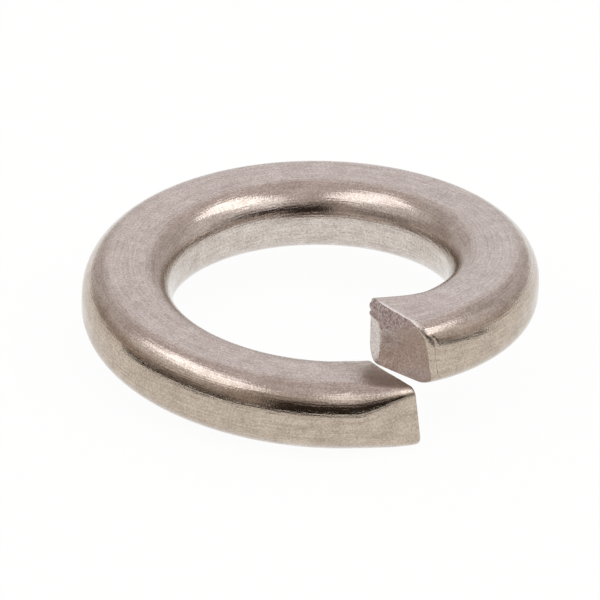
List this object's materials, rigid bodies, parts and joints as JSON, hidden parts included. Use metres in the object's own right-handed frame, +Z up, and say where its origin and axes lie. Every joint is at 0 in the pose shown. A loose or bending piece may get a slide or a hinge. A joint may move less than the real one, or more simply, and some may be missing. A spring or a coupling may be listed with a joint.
{
  "type": "split spring lock washer",
  "caption": "Split spring lock washer: one turn of rounded rectangular wire in a left-hand helix, with two slanted sheared ends that bite under a bolt head or nut.",
  "frame": {"origin": "on the axis of the bore, level with the lowest edge of the lower end", "axes": "+Z up the bore axis from the lower sheared end to the raised one; the split is 62 degrees clockwise of +X seen from above"},
  "size_m": [0.0268, 0.0268, 0.0078],
  "materials": {
    "steel": "tumbled bright stainless steel with a fine grain"
  },
  "bodies": {
    "root": {"lock_washer": "steel"}
  },
  "joints": []
}
